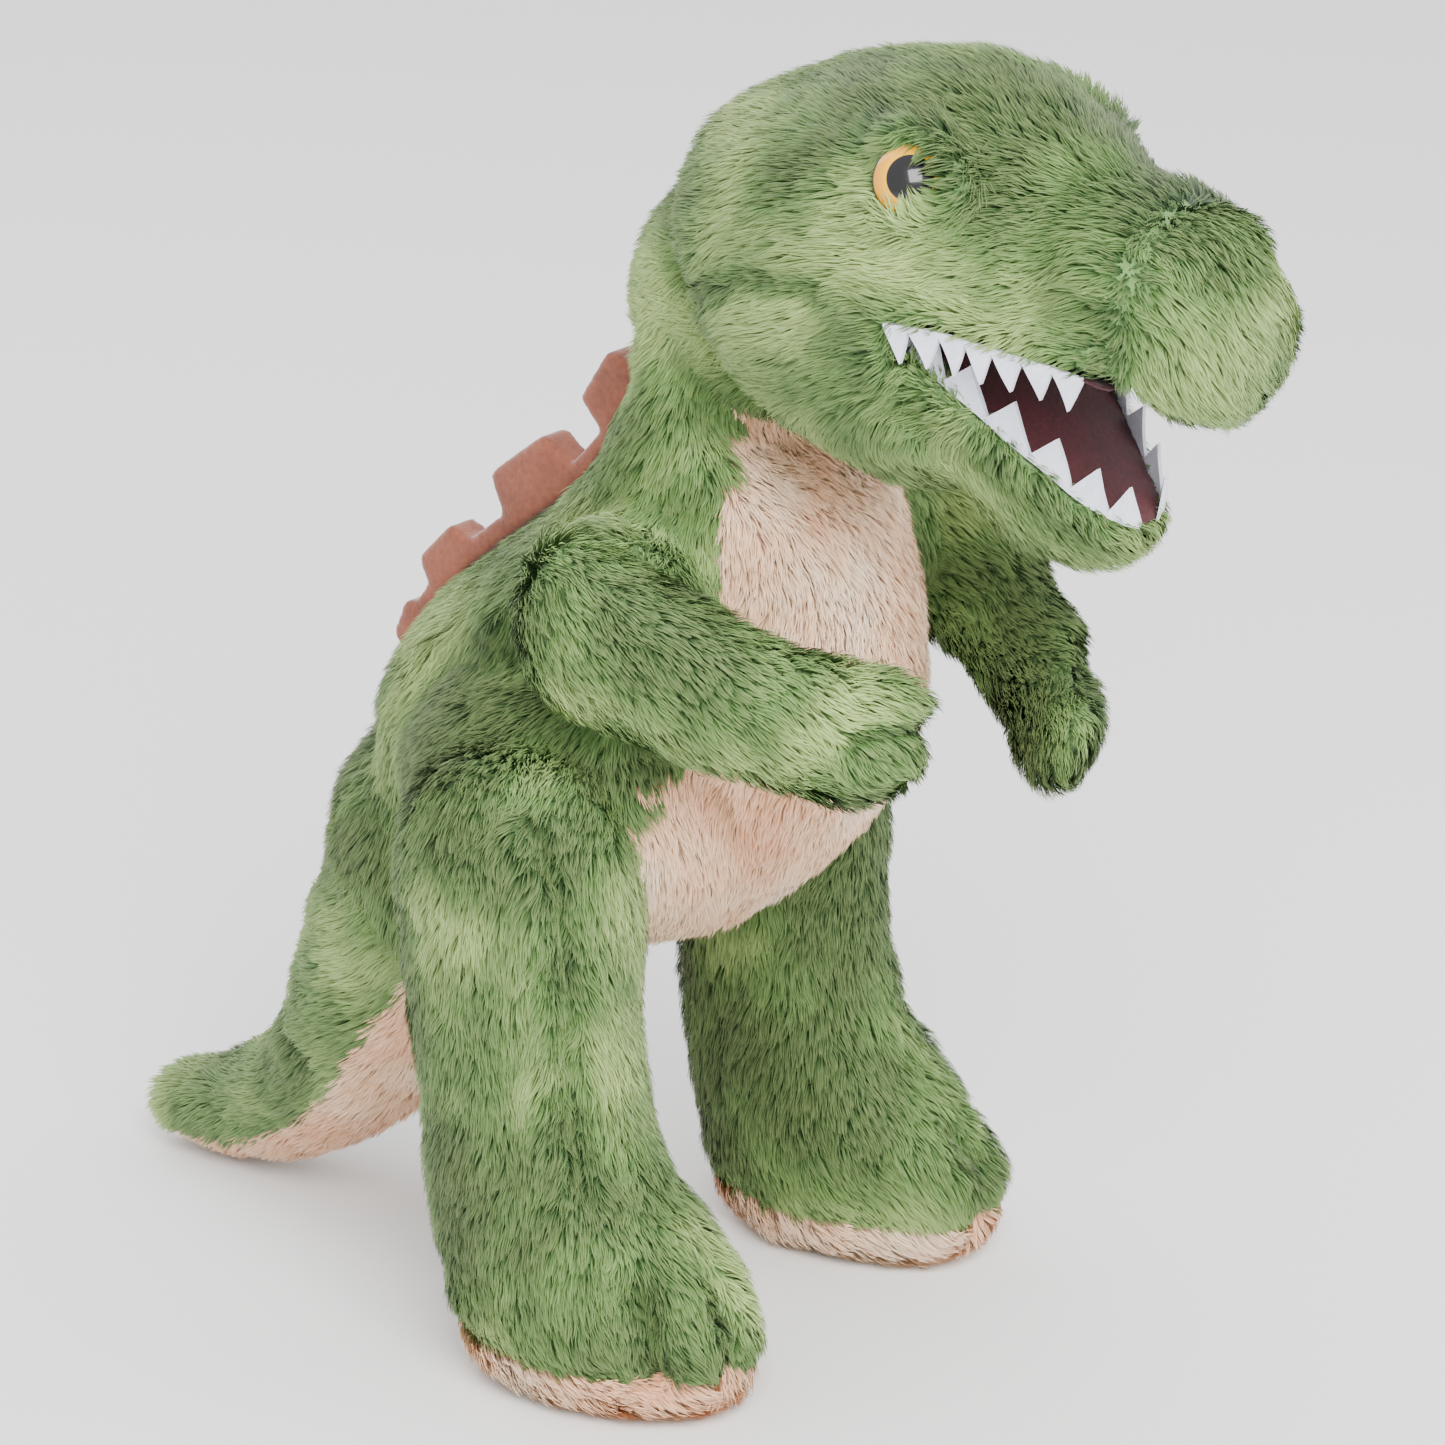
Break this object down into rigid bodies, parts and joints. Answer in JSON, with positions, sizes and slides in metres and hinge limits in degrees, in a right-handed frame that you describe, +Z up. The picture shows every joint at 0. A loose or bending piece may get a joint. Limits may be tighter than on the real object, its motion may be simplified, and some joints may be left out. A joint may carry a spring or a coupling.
{
  "type": "stuffed animal",
  "caption": "A plush tyrannosaur standing on two thick legs and its tail, in mottled green fur with a peach belly, felt teeth, amber eyes and rust back plates.",
  "frame": {"origin": "on the ground, in the middle of the outline", "axes": "the nose points to -Y, the tail to +Y, the toy's own right side is -X, and +Z is up"},
  "size_m": [0.1998, 0.399, 0.3863],
  "materials": {
    "green_fur": "long mottled tie-dye pile",
    "peach_fur": "short soft pile",
    "rust_plush": "short smooth plush",
    "mouth_velour": "velour",
    "tooth_felt": "felt",
    "eye_plastic": "polished, amber with a black pupil",
    "washer_plastic": "moulded nylon",
    "fibre_fill": "loose polyester fibre"
  },
  "bodies": {
    "torso": {"back_panel_right": "green_fur", "back_panel_left": "green_fur", "belly_panel": "peach_fur", "body_stuffing": "fibre_fill", "back_ridge": "rust_plush", "ridge_stuffing": "fibre_fill"},
    "head": {"head_gusset": "green_fur", "head_side_right": "green_fur", "head_side_left": "green_fur", "nose_panel": "green_fur", "chin_panel": "green_fur", "mouth_roof_lining": "mouth_velour", "mouth_floor_lining": "mouth_velour", "upper_teeth_strip": "tooth_felt", "lower_teeth_strip": "tooth_felt", "eye_right": "eye_plastic", "eye_left": "eye_plastic", "eye_washer_right": "washer_plastic", "eye_washer_left": "washer_plastic", "head_stuffing": "fibre_fill", "jaw_stuffing": "fibre_fill"},
    "arm_right": {"arm_outer_right": "green_fur", "arm_inner_right": "green_fur", "arm_stuffing_right": "fibre_fill"},
    "arm_left": {"arm_outer_left": "green_fur", "arm_inner_left": "green_fur", "arm_stuffing_left": "fibre_fill"},
    "leg_right": {"leg_outer_right": "green_fur", "leg_inner_right": "green_fur", "sole_right": "peach_fur", "leg_stuffing_right": "fibre_fill"},
    "leg_left": {"leg_outer_left": "green_fur", "leg_inner_left": "green_fur", "sole_left": "peach_fur", "leg_stuffing_left": "fibre_fill"},
    "tail": {"tail_top_right": "green_fur", "tail_top_left": "green_fur", "tail_underside": "peach_fur", "tail_stuffing": "fibre_fill"}
  },
  "joints": [
    {"name": "head_nod", "type": "hinge", "parent": "torso", "child": "head", "pos_m": [0, -0.0335, 0.308], "axis": [1, 0, 0], "range_deg": [-8, 8]},
    {"name": "arm_right_swing", "type": "hinge", "parent": "torso", "child": "arm_right", "pos_m": [-0.056, -0.0335, 0.226], "axis": [1, 0, 0], "range_deg": [-30, 30]},
    {"name": "arm_left_swing", "type": "hinge", "parent": "torso", "child": "arm_left", "pos_m": [0.056, -0.0335, 0.226], "axis": [1, 0, 0], "range_deg": [-30, 30]},
    {"name": "leg_right_swing", "type": "hinge", "parent": "torso", "child": "leg_right", "pos_m": [-0.034, 0.0005, 0.15], "axis": [1, 0, 0], "range_deg": [-15, 15]},
    {"name": "leg_left_swing", "type": "hinge", "parent": "torso", "child": "leg_left", "pos_m": [0.034, 0.0085, 0.15], "axis": [1, 0, 0], "range_deg": [-15, 15]},
    {"name": "tail_swing", "type": "hinge", "parent": "torso", "child": "tail", "pos_m": [0, 0.0665, 0.124], "axis": [0, 0, 1], "range_deg": [-18, 18]}
  ]
}
